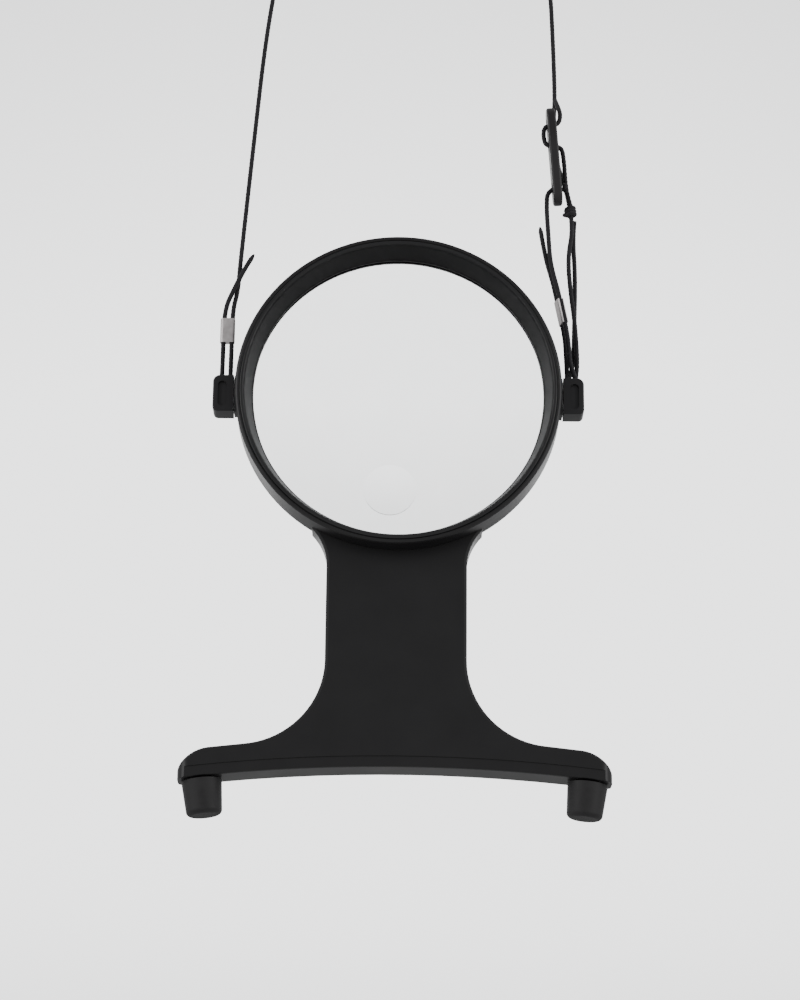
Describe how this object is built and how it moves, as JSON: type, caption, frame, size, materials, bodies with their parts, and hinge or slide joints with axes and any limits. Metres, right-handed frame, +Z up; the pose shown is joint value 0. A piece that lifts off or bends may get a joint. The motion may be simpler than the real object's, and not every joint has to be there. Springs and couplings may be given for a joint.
{
  "type": "hands-free neck magnifier",
  "caption": "Round lens in a ring on a flared neck and arched chest bar with rubber feet, hung from a black neck cord by swivelling side lugs, with a sliding cord adjuster.",
  "frame": {"origin": "inside the top of the neck cord, where it rests on the wearer's neck or a hook; the lens centre hangs 224.4 mm below it", "axes": "+X to the right and +Y to the back as the front rim of the lens is seen, +Z up the hanging cord; the lugs' hinge axis lies in the plane y = 0"},
  "size_m": [0.1538, 0.023, 0.3832],
  "materials": {
    "frame_plastic": "satin",
    "bezel_plastic": "satin",
    "lens_acrylic": "polished",
    "screw_steel": "satin",
    "foot_rubber": "matte",
    "lug_plastic": "satin",
    "pin_steel": "satin",
    "ferrule_aluminium": "satin",
    "adjuster_plastic": "satin",
    "cord": "matte"
  },
  "bodies": {
    "harness": {"lug_left": "lug_plastic", "lug_right": "lug_plastic", "anchor_pin_left": "pin_steel", "anchor_pin_right": "pin_steel", "ferrule_left": "ferrule_aluminium", "ferrule_right": "ferrule_aluminium", "strand_knot": "cord", "neck_cord": "cord", "tether": "cord"},
    "magnifier": {"frame": "frame_plastic", "bezel": "bezel_plastic", "lens": "lens_acrylic", "bezel_screws": "screw_steel", "foot_left": "foot_rubber", "foot_right": "foot_rubber", "pivot_pin_left": "pin_steel", "pivot_pin_right": "pin_steel"},
    "adjuster": {"adjuster_bar": "adjuster_plastic", "adjuster_weave": "cord", "stopper_knot": "cord"}
  },
  "joints": [
    {"name": "frame_tilt", "type": "hinge", "parent": "harness", "child": "magnifier", "pos_m": [0, 0, -0.2244], "axis": [1, 0, 0], "range_deg": [-150, 150]},
    {"name": "adjuster_slide", "type": "slide", "parent": "harness", "child": "adjuster", "axis": [-0.068, 0, 0.9977], "range_m": [-0.006, 0], "deforming": ["tether", "adjuster_weave"]}
  ]
}
